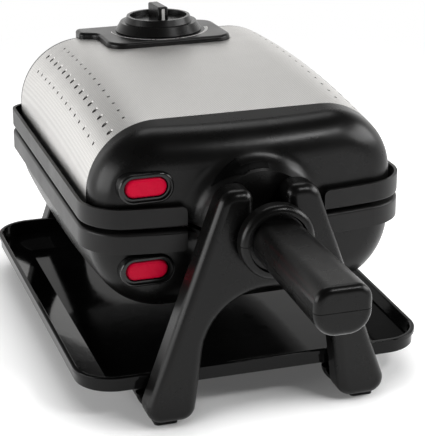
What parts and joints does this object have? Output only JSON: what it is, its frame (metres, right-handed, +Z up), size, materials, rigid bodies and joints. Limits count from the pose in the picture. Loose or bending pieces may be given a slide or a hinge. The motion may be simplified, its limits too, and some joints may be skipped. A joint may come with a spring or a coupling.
{
  "type": "rotating waffle maker",
  "caption": "Countertop waffle maker with a crowned two-part body that turns over in a stand, split front handle, release buttons, dial and drip tray.",
  "frame": {"origin": "on the table under the middle of the whole object's box", "axes": "+Z up, -Y towards the handle at the front, +X to the right as seen from the front"},
  "size_m": [0.264, 0.514, 0.2355],
  "materials": {
    "housing_plastic": "satin black moulded plastic",
    "stand_plastic": "satin black moulded plastic",
    "gloss_black": "glossy black plastic",
    "tray_plastic": "glossy black plastic",
    "cover_steel": "fine textured steel sheet",
    "button_red": "glossy crimson plastic",
    "rubber": "matt rubber",
    "plate_cast": "cast aluminium with a dark non-stick coat",
    "reflector_sheet": "aluminised sheet",
    "heater_sheath": "steel sheath",
    "fittings_steel": "bright steel",
    "bush_plastic": "pale bearing plastic",
    "thermostat_body": "heat-proof moulding"
  },
  "bodies": {
    "stand": {"front_stand": "stand_plastic", "rear_stand": "stand_plastic", "base_rail_left": "stand_plastic", "base_rail_right": "stand_plastic", "foot_pads": "rubber", "rear_bush": "bush_plastic", "cord_gland": "rubber"},
    "tray": {"drip_tray": "tray_plastic"},
    "lower_half": {"lower_housing": "housing_plastic", "lower_rim": "housing_plastic", "lower_plate": "plate_cast", "lower_pan": "reflector_sheet", "lower_heater": "heater_sheath", "lower_heater_clips": "fittings_steel", "lower_handle": "housing_plastic", "lower_button_bezel": "gloss_black", "lower_button_spring": "fittings_steel", "rear_carrier": "stand_plastic", "trunnion_tube": "fittings_steel", "hinge_pins": "fittings_steel", "carrier_screws": "fittings_steel"},
    "upper_half": {"upper_front_cap": "housing_plastic", "steel_cover": "cover_steel", "upper_rear_cap": "housing_plastic", "upper_rim": "housing_plastic", "upper_plate": "plate_cast", "upper_pan": "reflector_sheet", "upper_heater": "heater_sheath", "upper_heater_clips": "fittings_steel", "thermostat": "thermostat_body", "thermostat_bracket": "fittings_steel", "control_panel": "gloss_black", "upper_handle": "housing_plastic", "upper_button_bezel": "gloss_black", "upper_button_spring": "fittings_steel"},
    "dial": {"dial_knob": "gloss_black", "dial_spindle": "fittings_steel"},
    "upper_release": {"upper_button": "button_red", "upper_latch": "fittings_steel"},
    "lower_release": {"lower_button": "button_red", "lower_latch": "fittings_steel"}
  },
  "joints": [
    {"name": "tray_slide", "type": "slide", "parent": "stand", "child": "tray", "axis": [1, 0, 0], "range_m": [0, 0.28]},
    {"name": "body_flip", "type": "hinge", "parent": "stand", "child": "lower_half", "pos_m": [0, 0, 0.137], "axis": [0, -1, 0], "range_deg": [0, 180]},
    {"name": "lid_hinge", "type": "hinge", "parent": "lower_half", "child": "upper_half", "pos_m": [0, 0.196, 0.151], "axis": [1, 0, 0], "range_deg": [-95, 0]},
    {"name": "dial_turn", "type": "hinge", "parent": "upper_half", "child": "dial", "pos_m": [0, 0.154, 0.2145], "axis": [0, 0.0436, 0.999], "range_deg": [0, 270]},
    {"name": "upper_button_press", "type": "slide", "parent": "upper_half", "child": "upper_release", "axis": [0, 1, 0], "range_m": [0, 0.003], "stiffness_N_per_m": 400, "springref_m": -0.002},
    {"name": "lower_button_press", "type": "slide", "parent": "lower_half", "child": "lower_release", "axis": [0, 1, 0], "range_m": [0, 0.003], "stiffness_N_per_m": 400, "springref_m": -0.002}
  ]
}
